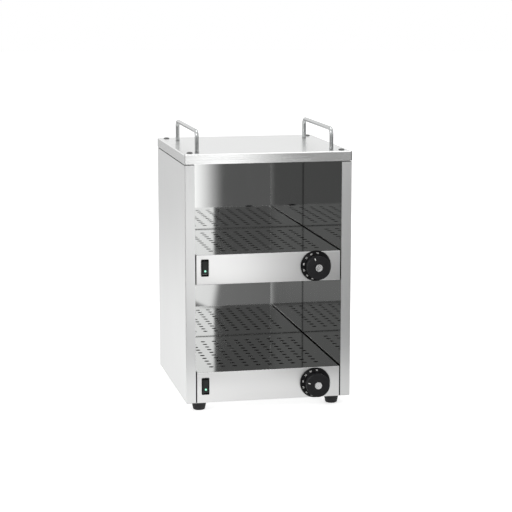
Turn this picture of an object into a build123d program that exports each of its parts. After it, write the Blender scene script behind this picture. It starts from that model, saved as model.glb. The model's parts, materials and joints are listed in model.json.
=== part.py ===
from build123d import *
import os

# Two-shelf warming cabinet with an open front, folded from thin stainless sheet.
# Millimetres, +Z up, the open front faces -Y, the origin is on the ground under the middle.

# Casing
width = 330.0
depth = 334.0
casing_height = 486.0
sheet = 1.0
bend_radius = 1.0
side_wall = 20.0
rear_wall = 13.4
panel_flange = 16.0
fold_relief = 4.0
fit_gap = 0.3

# Lid
lid_lip = 19.0
lid_seam = 1.7
corner_slit = 1.0
lid_screw_inset_x = 15.0
lid_screw_inset_y = 25.0
lid_screw_head = 12.0
lid_screw_rise = 2.6
lid_screw_shank = 4.0
lid_screw_length = 8.0

# Rails on the lid
rail_bar = 8.0
rail_bend = 11.0
rail_rise = 44.0
rail_inset = 31.5
rail_front_leg = 40.0
rail_rear_leg = 67.0
rail_stud = 6.0
rail_nut_flats = 10.0
rail_nut_thickness = 5.0

# Heated shelves
ground_clearance = 20.0
lower_shelf_height = 59.6
lower_clear_height = 173.4
upper_box_height = 58.2
shelf_rear_gap = 0.6
shelf_rear_flange = 24.0
fascia_return = 12.0
hole_across = 8.0
hole_sides = 8
hole_columns = 10
hole_rows = 10
hole_pitch_x = 23.6
hole_pitch_y = 25.0
first_row_from_front = 45.0
bracket_sheet = 1.2
bracket_foot = 14.0
bracket_leg = 20.0
bracket_setback = 12.0
bracket_length = 280.0

# Heating elements
heater_tube = 6.5
heater_bend = 30.0
heater_drop = 16.0
heater_reach_front = 60.0
heater_reach_rear = 40.0
heater_spread = 95.0
strip_width = 14.0
strip_foot = 12.0

# Control dials
dial_from_side = 71.5
dial_above_bottom = 30.0
ring_diameter = 60.0
ring_edge = 2.0
ring_height = 8.0
ring_bore = 22.0
knob_diameter = 44.0
knob_face_diameter = 46.5
knob_reach = 29.0
knob_gap = 0.4
knob_wall = 2.0
knob_web = 3.0
knob_hub = 12.0
knob_edge = 1.5
ridge_diameter = 23.0
ridge_width = 1.4
ridge_height = 0.7
cap_diameter = 14.0
cap_depth = 1.6
pointer_length = 6.0
pointer_width = 1.6
pointer_depth = 0.6
pointer_edge = 1.2
upper_pointer_turn = 335.0
lower_pointer_turn = 286.0
shaft_diameter = 6.0
running_clearance = 0.05
shaft_flat = 1.5
shaft_in_body = 8.0
bush_diameter = 10.0
bush_length = 6.0
bush_nut_flats = 14.0
bush_nut_thickness = 2.5
thermostat_width = 34.0
thermostat_depth = 22.0

# Rocker switches
switch_from_side = 39.0
switch_above_bottom = 33.3
bezel_width = 14.5
bezel_height = 33.0
bezel_rise = 2.0
bezel_edge = 0.7
housing_wall = 1.1
housing_depth = 20.0
well_width = 10.8
well_height = 26.2
well_depth = 11.0
rocker_side_gap = 0.2
rocker_height = 24.0
rocker_throw = 18.0
rocker_pivot_depth = 1.4
rocker_edge_height = 5.5
rocker_dip = 2.0
rocker_back = 4.0
rocker_heel = 14.0
trunnion_diameter = 2.4
trunnion_length = 0.6
lens_diameter = 4.0
lens_drop = 6.5
lens_depth = 1.2
tab_width = 6.3
tab_thickness = 0.8
tab_length = 8.0
tab_spacing = 12.0

# Feet
foot_from_side = 31.0
foot_from_front = 29.0
foot_top = 31.0
foot_bottom = 24.0
foot_edge = 3.0
foot_screw_head = 9.0
foot_screw_sink = 10.0
foot_screw_shank = 5.0
foot_nut_flats = 8.0
foot_nut_thickness = 4.0

# Back and underside
rear_panel_inset = 1.0
vent_length = 34.0
vent_height = 5.0
vent_columns = 4
vent_rows = 2
vent_pitch_x = 46.0
vent_pitch_z = 14.0
vent_from_top = 60.0
rear_screw_head = 8.0
rear_screw_rise = 2.0
rear_screw_shank = 3.5
rear_screw_length = 5.0
rear_screw_inset = 9.0
rear_screw_end = 30.0
base_slot_length = 60.0
base_slot_width = 5.0
base_slot_count = 5
base_slot_pitch = 16.0
gland_thread = 16.0
gland_flats = 20.0
gland_flange = 22.0
gland_body_length = 9.0
gland_dome_length = 13.0
gland_dome_tip = 13.0
gland_bore = 8.0
gland_nut_thickness = 5.0
gland_from_side = 60.0
gland_height = 60.0

# Places worked out from the sizes
gland_reach = gland_body_length + gland_dome_length
front = (knob_reach - gland_reach - depth) / 2
rear = front + depth
side = width / 2
panel_bottom = ground_clearance
lid_top = panel_bottom + casing_height
lid_under = lid_top - sheet
panel_top = lid_top - lid_lip - lid_seam
bend_outer = bend_radius + sheet
liner_face = side - side_wall
liner_back = liner_face + sheet
rear_liner_face = rear - rear_wall
shelf_half = liner_face - bracket_sheet - bend_radius - fit_gap
shelf_rear = rear_liner_face - shelf_rear_gap
lower_shelf_top = panel_bottom + lower_shelf_height
lower_box_bottom = panel_bottom - sheet
upper_box_bottom = lower_shelf_top + lower_clear_height
upper_shelf_top = upper_box_bottom + upper_box_height
fascia_back = front + sheet


# Shared operations
def block(x0, x1, y0, y1, z0, z1):
    middle = Pos((x0 + x1) / 2, (y0 + y1) / 2, (z0 + z1) / 2)
    return middle * Box(x1 - x0, y1 - y0, z1 - z0)


def folded(points, plane, length, thickness=sheet):
    """Sheet bent along an outer outline, with the metal on the right of its travel."""
    outline = FilletPolyline(*points, radius=bend_radius + thickness)
    strip = Wire(outline.edges()).offset_2d(thickness, side=Side.RIGHT, closed=True)
    return extrude(plane * make_face(strip), length)


def plan_plane(z):
    return Plane.XY.offset(z)


def cross_plane(y_end):
    """Looks along +Y, with X to the right and Z up; extrudes towards the front."""
    return Plane.XZ.offset(-y_end)


def side_plane(x_start):
    """Y to the right and Z up; extrudes towards +X."""
    return Plane.YZ.offset(x_start)


def facing_front(x, y, z, solid):
    """Stands a solid that was drawn along +Z so that it points out of the front."""
    return Pos(x, y, z) * Rot(90, 0, 0) * solid


def facing_back(x, y, z, solid):
    return Pos(x, y, z) * Rot(-90, 0, 0) * solid


def turned(points):
    """Solid of revolution about Z from a closed outline in radius and height."""
    return revolve(make_face(Polyline(*[(r, 0, h) for r, h in points], close=True)), Axis.Z)


def rod(radius, low, high):
    return Pos(0, 0, low) * Cylinder(radius, high - low, align=(Align.CENTER, Align.CENTER, Align.MIN))


def headed_screw(head, rise, shank, length):
    """Low round head on z = 0 with its shank below."""
    crown = head * 0.3
    outline = [(0, -length), (shank / 2, -length), (shank / 2, 0), (head / 2, 0)]
    outline += [(head / 2, rise * 0.4), (crown, rise), (0, rise)]
    return turned(outline)


def hex_nut(flats, thickness, bore):
    blank = RegularPolygon(flats / 2, 6, major_radius=False)
    return extrude(blank - Circle(bore / 2), thickness)


def mirrored(solid):
    return mirror(solid, about=Plane.YZ)


def write(name, shape):
    """One file for each piece; repeats of a piece share its file."""
    if isinstance(shape, list):
        shape = Compound(children=[item.solid() for item in shape])
    export_step(shape, f"parts/{name}.step")


# Casing sheets
def side_panel():
    """Left outer panel with its front, rear and bottom flanges."""
    plan = [
        (-liner_face, front),
        (-side, front),
        (-side, rear - rear_panel_inset),
        (-side + panel_flange, rear - rear_panel_inset),
    ]
    panel = folded(plan, plan_plane(panel_bottom), panel_top - panel_bottom)
    cross = [
        (-side + panel_flange, panel_bottom),
        (-side, panel_bottom),
        (-side, panel_bottom + panel_flange),
    ]
    y0 = front + fold_relief
    y1 = rear - rear_panel_inset - fold_relief
    panel -= block(-side, -side + sheet, y0, y1, panel_bottom, panel_bottom + panel_flange)
    panel += folded(cross, cross_plane(y1), y1 - y0)
    for z in rear_screw_heights():
        hole = facing_back(-side + rear_screw_inset, rear, z, rod(rear_screw_shank / 2, -depth / 8, 1))
        panel -= hole
    return panel


def lid_screw_places():
    x = side - lid_screw_inset_x
    y = depth / 2 - lid_screw_inset_y
    middle = (front + rear) / 2
    return [Pos(sx * x, middle + sy * y, 0) for sx in (-1, 1) for sy in (-1, 1)]


def rail_leg_places():
    x = side - rail_inset
    return [Pos(sx * x, y, 0) for sx in (-1, 1) for y in (front + rail_front_leg, rear - rail_rear_leg)]


def lid():
    """Folded pan: full-length side lips, and end lips between them with open corner slits."""
    low = lid_top - lid_lip
    cross = [(-side, low), (-side, lid_top), (side, lid_top), (side, low)]
    pan = folded(cross, cross_plane(rear), depth)
    inner = side - sheet - corner_slit
    for end in (front, rear):
        inward = 1 if end == front else -1
        strip = sorted((end, end + inward * (bend_outer + sheet)))
        pan -= block(-inner - corner_slit, inner + corner_slit, *strip, low, lid_top)
    front_lip = [(front, low), (front, lid_top), (front + bend_outer + 2 * sheet, lid_top)]
    rear_lip = [(rear - bend_outer - 2 * sheet, lid_top), (rear, lid_top), (rear, low)]
    for lip in (front_lip, rear_lip):
        pan += folded(lip, side_plane(-inner), 2 * inner)
    for place in lid_screw_places():
        pan -= place * rod(lid_screw_shank / 2 + running_clearance, lid_under, lid_top)
    for place in rail_leg_places():
        pan -= place * rod(rail_stud / 2 + running_clearance, lid_under, lid_top)
    return pan


def side_liner():
    """Left polished inner wall with a top flange that carries the lid."""
    outline = [
        (-liner_back + sheet, panel_bottom),
        (-liner_back + sheet, lid_under),
        (-side + bend_outer + fit_gap, lid_under),
    ]
    run = rear_liner_face - fascia_back
    liner = folded(outline[::-1], cross_plane(rear_liner_face), run)
    lip_y = front + bend_outer + fit_gap
    liner -= block(-side, -liner_face, front, lip_y, lid_under - bend_outer, lid_under)
    for place in lid_screw_places()[:2]:
        liner -= place * rod(lid_screw_shank / 2 + running_clearance, lid_under - 2 * sheet, lid_top)
    return liner


def rear_liner():
    outline = [
        (rear_liner_face, panel_bottom),
        (rear_liner_face, lid_under),
        (rear - sheet - rear_panel_inset - fit_gap, lid_under),
    ]
    half = side - panel_flange - fit_gap
    wall = folded(outline, side_plane(-half), 2 * half)
    return wall


def rear_screw_heights():
    low = panel_bottom + rear_screw_end
    high = panel_top - rear_screw_end
    return (low, (low + high) / 2, high)


def rear_screw_places():
    x = side - rear_screw_inset
    return [(sx * x, z) for sx in (-1, 1) for z in rear_screw_heights()]


def rear_panel():
    half = side - sheet - fit_gap
    panel = block(-half, half, rear - rear_panel_inset, rear, panel_bottom, panel_top)
    slot = SlotOverall(vent_length, vent_height)
    for middle in (panel_top - vent_from_top, panel_bottom + vent_from_top * 2):
        grid = Pos(0, middle) * GridLocations(vent_pitch_x, vent_pitch_z, vent_columns, vent_rows)
        vents = Sketch() + [place * slot for place in grid]
        panel -= extrude(cross_plane(rear + 1) * vents, rear_panel_inset + 2)
    for x, z in rear_screw_places():
        panel -= facing_back(x, rear, z, rod(rear_screw_shank / 2 + running_clearance, -2, 1))
    bore = rod(gland_thread / 2 + running_clearance, -2, 1)
    panel -= facing_back(side - gland_from_side, rear, gland_height, bore)
    return panel


def base_plate():
    half = side - sheet - fit_gap
    y0 = fascia_back
    plate = block(-half, half, y0 + fit_gap, rear - rear_panel_inset - fit_gap, lower_box_bottom, panel_bottom)
    slots = Sketch() + [
        place * Rectangle(base_slot_length, base_slot_width)
        for place in GridLocations(0, base_slot_pitch, 1, base_slot_count)
    ]
    plate -= extrude(plan_plane(lower_box_bottom) * slots, sheet)
    notch = shelf_half + fit_gap
    plate -= block(-notch, notch, y0, front + fascia_return + fit_gap, lower_box_bottom, panel_bottom)
    for place in foot_places():
        plate -= place * rod(foot_screw_shank / 2 + running_clearance, lower_box_bottom, panel_bottom)
    return plate


# Heated shelves
def shelf_perforation(top):
    middle = front + first_row_from_front + hole_pitch_y * (hole_rows - 1) / 2
    grid = GridLocations(hole_pitch_x, hole_pitch_y, hole_columns, hole_rows)
    turn = 180 / hole_sides
    hole = RegularPolygon(hole_across / 2, hole_sides, major_radius=False, rotation=turn)
    holes = Sketch() + [place * hole for place in grid]
    return extrude(Plane((0, middle, top - 2 * sheet)) * holes, 3 * sheet)


def shelf_tray(bottom, top, rest):
    """Fascia, perforated shelf and rear flange in one bend line, with two side flanges."""
    run = [
        (front + fascia_return, bottom),
        (front, bottom),
        (front, top),
        (shelf_rear, top),
        (shelf_rear, top - shelf_rear_flange),
    ]
    tray = folded(run, side_plane(-shelf_half), 2 * shelf_half)
    y0 = front + fold_relief
    y1 = shelf_rear - fold_relief
    for x in (-shelf_half, shelf_half - bend_outer):
        tray -= block(x, x + bend_outer, y0, y1, top - bend_outer, top)
    cross = [(-shelf_half, rest), (-shelf_half, top), (shelf_half, top), (shelf_half, rest)]
    tray += folded(cross, cross_plane(y1), y1 - y0 - fascia_return)
    bridge = block(-shelf_half + bend_outer, shelf_half - bend_outer, y0, y0 + fascia_return, top - sheet, top)
    tray += bridge
    tray -= shelf_perforation(top)
    tray -= fascia_cuts(bottom)
    return tray


def fascia_cuts(bottom):
    """Openings in a fascia for the switch and for the dial's bush."""
    switch_z = bottom + switch_above_bottom
    dial_z = bottom + dial_above_bottom
    x = side - switch_from_side
    half_x = housing_half_width() + fit_gap / 2
    half_z = housing_half_height() + fit_gap / 2
    cut = block(-x - half_x, -x + half_x, front - 1, front + 2 * sheet, switch_z - half_z, switch_z + half_z)
    bush = facing_front(side - dial_from_side, front, dial_z, rod(bush_diameter / 2 + running_clearance, -2 * sheet, 1))
    return cut + bush


def upper_tray_cover():
    """Flat sheet that closes the upper heated box underneath."""
    half = shelf_half - sheet - fit_gap
    y0 = front + fascia_return + fit_gap
    y1 = shelf_rear - fold_relief - fit_gap
    return block(-half, half, y0, y1, upper_box_bottom, upper_box_bottom + sheet)


def shelf_bracket():
    """Left angle on the inner wall; the upper heated box rests on its foot."""
    inner = -liner_face
    y0 = front + bracket_setback
    outline = [
        (inner + bracket_foot, upper_box_bottom - bracket_sheet),
        (inner, upper_box_bottom - bracket_sheet),
        (inner, upper_box_bottom + bracket_leg),
    ]
    return folded(outline, cross_plane(y0 + bracket_length), bracket_length, bracket_sheet)


# Heating elements
def heater(top):
    """Hairpin of sheathed tube that lies under a shelf plate."""
    z = top - sheet - heater_drop
    y0 = front + heater_reach_front
    y1 = shelf_rear - heater_reach_rear
    path = FilletPolyline(
        (-heater_spread, y1, z),
        (-heater_spread, y0, z),
        (heater_spread, y0, z),
        (heater_spread, y1, z),
        radius=heater_bend,
    )
    start = Plane(origin=(-heater_spread, y1, z), z_dir=(0, -1, 0))
    return sweep(start * Circle(heater_tube / 2), path=path)


def heater_strips(top):
    """Two bent straps under a shelf plate that carry the heating tube."""
    plate = top - sheet
    web = plate - heater_drop - heater_tube / 2 - fit_gap
    half = shelf_half - bend_outer - 3 * sheet
    strips = []
    for share in (0.3, 0.8):
        y = front + share * depth
        outline = [
            (-half, plate),
            (-half + strip_foot, plate),
            (-half + strip_foot, web),
            (half - strip_foot, web),
            (half - strip_foot, plate),
            (half, plate),
        ]
        face = make_face(hat_outline(outline))
        strips.append(extrude(cross_plane(y + strip_width / 2) * face, strip_width))
    return strips


def hat_outline(points):
    """Closed outline of a strap: its upper faces, then the same run one sheet lower."""
    left, drop, low, right, rise, end = points
    lower = [
        (end[0], end[1] - sheet),
        (rise[0] + sheet, rise[1] - sheet),
        (right[0] + sheet, right[1] - sheet),
        (low[0] - sheet, low[1] - sheet),
        (drop[0] - sheet, drop[1] - sheet),
        (left[0], left[1] - sheet),
    ]
    return Polyline(*points, *lower, close=True)


# Control dials
def dial_ring():
    """Fixed scale ring with a sloped face round the knob."""
    ring = ring_diameter / 2
    crown = knob_diameter / 2 + 0.6
    return turned(
        [
            (ring_bore / 2, 0),
            (ring, 0),
            (ring, ring_edge),
            (crown, ring_height),
            (ring_bore / 2, ring_height),
        ]
    )


def knob(pointer_turn):
    """Hollow moulded grip: tapered skirt, front web, ridge and a hub bored for the shaft."""
    base = ring_height + knob_gap
    outer = knob_diameter / 2
    face = knob_face_diameter / 2
    inner = outer - knob_wall
    hub = knob_hub / 2
    under = knob_reach - knob_web
    body = turned(
        [
            (0, base),
            (hub, base),
            (hub, under),
            (inner, under),
            (inner, base),
            (outer, base),
            (face, knob_reach - knob_edge),
            (face - knob_edge * 0.4, knob_reach - knob_edge * 0.4),
            (face - knob_edge, knob_reach),
            (0, knob_reach),
        ]
    )
    ridge = ridge_diameter / 2
    ring = Pos(0, 0, knob_reach) * extrude(Circle(ridge) - Circle(ridge - ridge_width), ridge_height)
    body += ring
    body -= rod(cap_diameter / 2, knob_reach - cap_depth, knob_reach + 1)
    body -= knob_shaft_blank(base - 1, under, running_clearance)
    body -= knob_pointer(pointer_turn)
    return body


def knob_shaft_blank(low, high, clearance):
    """Round shaft with a flat for the knob."""
    radius = shaft_diameter / 2 + clearance
    flat = shaft_diameter / 2 - shaft_flat + clearance
    blank = rod(radius, low, high)
    return blank - Pos(0, flat, low) * Box(2 * radius, 2 * radius, high - low, align=(Align.CENTER, Align.MIN, Align.MIN))


def knob_pointer(turn):
    """Inlaid mark near the rim, turned clockwise from the top as seen from the front."""
    outer = knob_face_diameter / 2 - knob_edge - pointer_edge
    mark = Pos(0, outer - pointer_length / 2, knob_reach - pointer_depth)
    bar = Box(pointer_width, pointer_length, pointer_depth, align=(Align.CENTER, Align.CENTER, Align.MIN))
    return Rot(0, 0, -turn) * mark * bar


def knob_cap():
    edge = 0.4
    radius = cap_diameter / 2
    return turned(
        [
            (0, knob_reach - cap_depth),
            (radius, knob_reach - cap_depth),
            (radius, knob_reach),
            (radius - edge, knob_reach + edge),
            (0, knob_reach + edge),
        ]
    )


def dial_shaft():
    """Shaft from the thermostat into the knob's hub; the flat starts past the bush."""
    tip = knob_reach - knob_web - fit_gap
    shaft = rod(shaft_diameter / 2, -sheet - shaft_in_body, ring_height)
    return shaft + knob_shaft_blank(ring_height, tip, 0)


def thermostat():
    """Switching body behind the fascia with its threaded bush through the sheet."""
    half = thermostat_width / 2
    body = block(-half, half, -half, half, -sheet - thermostat_depth, -sheet)
    body = chamfer(body.edges().filter_by(Axis.Z), 2 * sheet)
    body += rod(bush_diameter / 2, -sheet, bush_length)
    body -= rod(shaft_diameter / 2 + running_clearance, -sheet - shaft_in_body - fit_gap, bush_length)
    return body


def thermostat_nut():
    return hex_nut(bush_nut_flats, bush_nut_thickness, bush_diameter + 2 * running_clearance)


# Rocker switches
def housing_half_width():
    return well_width / 2 + housing_wall


def housing_half_height():
    return well_height / 2 + housing_wall


def switch_housing():
    """Bezel, snap-in body and the open well that the rocker swings in."""
    bezel = extrude(Rectangle(bezel_width, bezel_height), bezel_rise)
    bezel = chamfer(bezel.edges().group_by(Axis.Z)[-1], bezel_edge)
    half_x = housing_half_width()
    half_y = housing_half_height()
    body = bezel + block(-half_x, half_x, -half_y, half_y, -housing_depth, 0)
    well_x = well_width / 2
    well_y = well_height / 2
    body -= block(-well_x, well_x, -well_y, well_y, bezel_rise - well_depth, bezel_rise)
    reach = rocker_half_width() + trunnion_length + fit_gap / 2
    bearing = Cylinder(trunnion_diameter / 2 + running_clearance, 2 * reach)
    return body - Pos(0, 0, -rocker_pivot_depth) * Rot(0, 90, 0) * bearing


def rocker_half_width():
    return well_width / 2 - rocker_side_gap


def rocker_profile():
    """Side outline about the pivot: height along X, depth towards the user along Y."""
    half = rocker_height / 2
    heel = rocker_heel / 2
    return Polyline(
        (-half, rocker_edge_height),
        (0, rocker_edge_height - rocker_dip),
        (half, rocker_edge_height),
        (half - 1, 0),
        (heel / 2, -rocker_back),
        (-heel / 2, -rocker_back),
        (-half + 1, 0),
        close=True,
    )


def rocker_at_rest(solid):
    """Tips a rocker piece about its pivot so that the top edge is pressed in."""
    return Pos(0, 0, -rocker_pivot_depth) * Rot(-rocker_throw / 2, 0, 0) * solid


def rocker():
    half = rocker_half_width()
    face = make_face(rocker_profile())
    body = extrude(Plane(origin=(-half, 0, 0), x_dir=(0, 1, 0), z_dir=(1, 0, 0)) * face, 2 * half)
    body += Rot(0, 90, 0) * Cylinder(trunnion_diameter / 2, 2 * (half + trunnion_length))
    return rocker_at_rest(body) - switch_lens()


def switch_lens():
    """Lit window set flush in the lower half of the rocker."""
    slope = rocker_dip / (rocker_height / 2)
    level = rocker_edge_height - rocker_dip + slope * lens_drop
    window = rod(lens_diameter / 2, level - lens_depth, level)
    return rocker_at_rest(Pos(0, -lens_drop, 0) * window)


def switch_tabs():
    """Two flat blade terminals behind the switch."""
    tabs = []
    for y in (-tab_spacing / 2, tab_spacing / 2):
        half = tab_width / 2
        low = -housing_depth - tab_length
        tabs.append(block(-half, half, y - tab_thickness / 2, y + tab_thickness / 2, low, -housing_depth))
    return tabs


# Feet and small fixings
def foot_places():
    x = side - foot_from_side
    y = depth / 2 - foot_from_front
    middle = (front + rear) / 2
    return [Pos(sx * x, middle + sy * y, 0) for sx in (-1, 1) for sy in (-1, 1)]


def foot():
    """Tapered rubber foot with a rounded tread and a sunk screw seat."""
    top = lower_box_bottom
    solid = Cone(foot_bottom / 2, foot_top / 2, top, align=(Align.CENTER, Align.CENTER, Align.MIN))
    solid = fillet(solid.edges().group_by(Axis.Z)[0], foot_edge)
    solid -= rod(foot_screw_head / 2 + fit_gap, 0, foot_screw_sink)
    return solid - rod(foot_screw_shank / 2 + running_clearance, 0, top)


def foot_screw():
    """Cheese-head screw up through the foot and the base plate."""
    head = rod(foot_screw_head / 2, foot_screw_sink / 2, foot_screw_sink)
    return head + rod(foot_screw_shank / 2, foot_screw_sink, panel_bottom + foot_nut_thickness + sheet)


def foot_nut():
    return Pos(0, 0, panel_bottom) * hex_nut(
        foot_nut_flats, foot_nut_thickness, foot_screw_shank + 2 * running_clearance
    )


def rail():
    """Round bar bent into a low guard rail, with a threaded stud under each leg."""
    top = lid_top + rail_rise - rail_bar / 2
    y0 = front + rail_front_leg
    y1 = rear - rail_rear_leg
    path = FilletPolyline((0, y0, lid_top), (0, y0, top), (0, y1, top), (0, y1, lid_top), radius=rail_bend)
    bar = sweep(Plane((0, y0, lid_top)) * Circle(rail_bar / 2), path=path)
    low = lid_under - rail_nut_thickness - sheet
    for y in (y0, y1):
        bar += Pos(0, y, 0) * rod(rail_stud / 2, low, lid_top)
    return bar


def rail_nut():
    nut = hex_nut(rail_nut_flats, rail_nut_thickness, rail_stud + 2 * running_clearance)
    return Pos(0, 0, lid_under - rail_nut_thickness) * nut


def cable_gland():
    """Flanged hexagon, tapered dome and the thread through the rear panel."""
    hexagon = extrude(RegularPolygon(gland_flats / 2, 6, major_radius=False), gland_body_length)
    flange = rod(gland_flange / 2, 0, 2 * sheet)
    dome = turned(
        [
            (0, gland_body_length),
            (gland_flats / 2 - 1, gland_body_length),
            (gland_flats / 2 - 1, gland_body_length + gland_dome_length * 0.4),
            (gland_dome_tip / 2, gland_reach),
            (0, gland_reach),
        ]
    )
    thread = rod(gland_thread / 2, -rear_panel_inset - gland_nut_thickness - sheet, 0)
    body = hexagon + flange + dome + thread
    return body - rod(gland_bore / 2, -rear_wall, gland_reach)


def gland_nut():
    nut = hex_nut(gland_flats, gland_nut_thickness, gland_thread + 2 * running_clearance)
    return Pos(0, 0, -rear_panel_inset - gland_nut_thickness) * nut


# Assembly
def write_casing():
    write("left_side_panel", side_panel())
    write("right_side_panel", mirrored(side_panel()))
    write("left_liner", side_liner())
    write("right_liner", mirrored(side_liner()))
    write("rear_liner", rear_liner())
    write("rear_panel", rear_panel())
    write("base_plate", base_plate())
    write("lid", lid())


def write_fixings():
    x = side - rail_inset
    lid_screw = headed_screw(lid_screw_head, lid_screw_rise, lid_screw_shank, lid_screw_length)
    rear_screw = headed_screw(rear_screw_head, rear_screw_rise, rear_screw_shank, rear_screw_length)
    write("left_rail", Pos(-x, 0, 0) * rail())
    write("right_rail", Pos(x, 0, 0) * rail())
    write("rail_nuts", [place * rail_nut() for place in rail_leg_places()])
    write("lid_screws", [place * Pos(0, 0, lid_top) * lid_screw for place in lid_screw_places()])
    write("rear_screws", [facing_back(x, rear, z, rear_screw) for x, z in rear_screw_places()])
    names = ("left_front", "left_rear", "right_front", "right_rear")
    for name, place in zip(names, foot_places()):
        write(f"{name}_foot", place * foot())
    write("foot_screws", [place * foot_screw() for place in foot_places()])
    write("foot_nuts", [place * foot_nut() for place in foot_places()])
    gland_x = side - gland_from_side
    write("cable_gland", facing_back(gland_x, rear, gland_height, cable_gland()))
    write("gland_nut", facing_back(gland_x, rear, gland_height, gland_nut()))


def write_shelf(level, bottom, top, rest, pointer_turn):
    dial = (side - dial_from_side, front, bottom + dial_above_bottom)
    switch = (-side + switch_from_side, front, bottom + switch_above_bottom)
    write(f"{level}_shelf_tray", shelf_tray(bottom, top, rest))
    write(f"{level}_heater", heater(top))
    write(f"{level}_heater_strips", heater_strips(top))
    write(f"{level}_dial_ring", facing_front(*dial, dial_ring()))
    write(f"{level}_knob", facing_front(*dial, knob(pointer_turn)))
    write(f"{level}_knob_cap", facing_front(*dial, knob_cap()))
    write(f"{level}_knob_pointer", facing_front(*dial, knob_pointer(pointer_turn)))
    write(f"{level}_dial_shaft", facing_front(*dial, dial_shaft()))
    write(f"{level}_thermostat", facing_front(*dial, thermostat()))
    write(f"{level}_thermostat_nut", facing_front(*dial, thermostat_nut()))
    write(f"{level}_switch_housing", facing_front(*switch, switch_housing()))
    write(f"{level}_rocker", facing_front(*switch, rocker()))
    write(f"{level}_switch_lens", facing_front(*switch, switch_lens()))
    write(f"{level}_switch_tabs", [facing_front(*switch, tab) for tab in switch_tabs()])


def main():
    os.makedirs("parts", exist_ok=True)
    write_casing()
    write_fixings()
    write_shelf("upper", upper_box_bottom, upper_shelf_top, upper_box_bottom, upper_pointer_turn)
    write_shelf("lower", lower_box_bottom, lower_shelf_top, panel_bottom, lower_pointer_turn)
    write("upper_tray_cover", upper_tray_cover())
    write("left_shelf_bracket", shelf_bracket())
    write("right_shelf_bracket", mirrored(shelf_bracket()))


main()
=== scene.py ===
import json
import math
from contextlib import contextmanager

import bmesh
import bpy
from mathutils import Matrix, Vector


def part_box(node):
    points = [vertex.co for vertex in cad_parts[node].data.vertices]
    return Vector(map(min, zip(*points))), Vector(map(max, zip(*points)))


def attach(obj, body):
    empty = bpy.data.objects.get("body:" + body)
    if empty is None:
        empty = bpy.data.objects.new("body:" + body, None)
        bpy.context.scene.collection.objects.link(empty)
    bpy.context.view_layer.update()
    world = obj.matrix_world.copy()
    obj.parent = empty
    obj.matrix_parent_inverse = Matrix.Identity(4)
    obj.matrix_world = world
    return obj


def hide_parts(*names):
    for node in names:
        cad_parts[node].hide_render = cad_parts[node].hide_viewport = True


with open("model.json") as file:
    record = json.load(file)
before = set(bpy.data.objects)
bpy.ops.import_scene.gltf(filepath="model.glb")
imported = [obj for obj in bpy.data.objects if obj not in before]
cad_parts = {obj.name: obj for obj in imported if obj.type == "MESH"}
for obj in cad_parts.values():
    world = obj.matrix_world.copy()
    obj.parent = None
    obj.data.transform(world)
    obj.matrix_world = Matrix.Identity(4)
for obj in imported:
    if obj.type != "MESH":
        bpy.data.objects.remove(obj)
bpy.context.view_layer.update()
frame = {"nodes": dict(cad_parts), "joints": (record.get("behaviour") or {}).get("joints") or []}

bl_info = {
    "name": "Warming Cabinet",
    "version": (1, 0, 0),
    "blender": (4, 5, 0),
    "location": "3D View > Sidebar > Cabinet",
    "description": "Finishes and fine pieces for a two-shelf warming cabinet in folded stainless sheet",
    "category": "Object",
}

MM = 0.001
TINY = 1e-6
MOST_OF_HALF = 0.49
LEVELS = ("upper", "lower")
CABINET = "cabinet"


# Places read from the frame
def corner(node, side, axis):
    """One coordinate of a node's box: side 0 is the low corner and 1 the high one."""
    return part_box(node)[side][axis]


def joint_place(name):
    for joint in frame["joints"]:
        if joint["name"] == name:
            return Vector(joint["pos_m"])
    raise ValueError("no joint is named " + name)


def front_face():
    return corner("left_side_panel", 0, 1)


def middle(low, high):
    return (low + high) / 2


def facing_front(place):
    """Local X and Y become the right and up of someone at the front, and local Z points at them."""
    return Matrix.Translation(place) @ Matrix.Rotation(math.pi / 2, 4, "X")


def facing_back(place):
    return Matrix.Translation(place) @ Matrix.Rotation(-math.pi / 2, 4, "X")


# Mesh work
def linked(name, data):
    """New object in the scene's collection."""
    made = bpy.data.objects.new(name, data)
    bpy.context.scene.collection.objects.link(made)
    return made


def shown_mesh(holder):
    """The mesh of an object after its modifiers, or of a text."""
    shown = holder.evaluated_get(bpy.context.evaluated_depsgraph_get())
    return bpy.data.meshes.new_from_object(shown)


def mesh_object(name, bm, *materials):
    mesh = bpy.data.meshes.new(name)
    bm.to_mesh(mesh)
    bm.free()
    for material in materials:
        mesh.materials.append(material)
    return linked(name, mesh)


@contextmanager
def edited(mesh):
    """The mesh as a bmesh, written back at the end."""
    bm = bmesh.new()
    bm.from_mesh(mesh)
    yield bm
    bm.to_mesh(mesh)
    bm.free()


def shade(piece, angle=35.0):
    """Smooth faces with sharp edges where the surface turns by more than the angle."""
    limit = math.radians(angle)
    with edited(piece.data) as bm:
        for face in bm.faces:
            face.smooth = True
        for edge in bm.edges:
            edge.smooth = len(edge.link_faces) == 2 and edge.calc_face_angle(0.0) < limit
    return piece


def lathe(outline, segments):
    """Closed solid of revolution about Z from (radius, height) points in millimetres."""
    bm = bmesh.new()
    rings = []
    for radius, height in outline:
        if radius < TINY:
            rings.append([bm.verts.new((0, 0, height * MM))])
            continue
        ring = []
        for step in range(segments):
            turn = 2 * math.pi * step / segments
            across, up = radius * MM * math.cos(turn), radius * MM * math.sin(turn)
            ring.append(bm.verts.new((across, up, height * MM)))
        rings.append(ring)
    if outline[0][0] > TINY:
        rings.append(rings[0])
    for low, high in zip(rings, rings[1:]):
        for step in range(segments):
            after = (step + 1) % segments
            corners = low[step % len(low)], low[after % len(low)], high[after % len(high)], high[step % len(high)]
            loop = list(dict.fromkeys(corners))
            if len(loop) > 2:
                bm.faces.new(loop)
    bmesh.ops.recalc_face_normals(bm, faces=bm.faces)
    return bm


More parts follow.
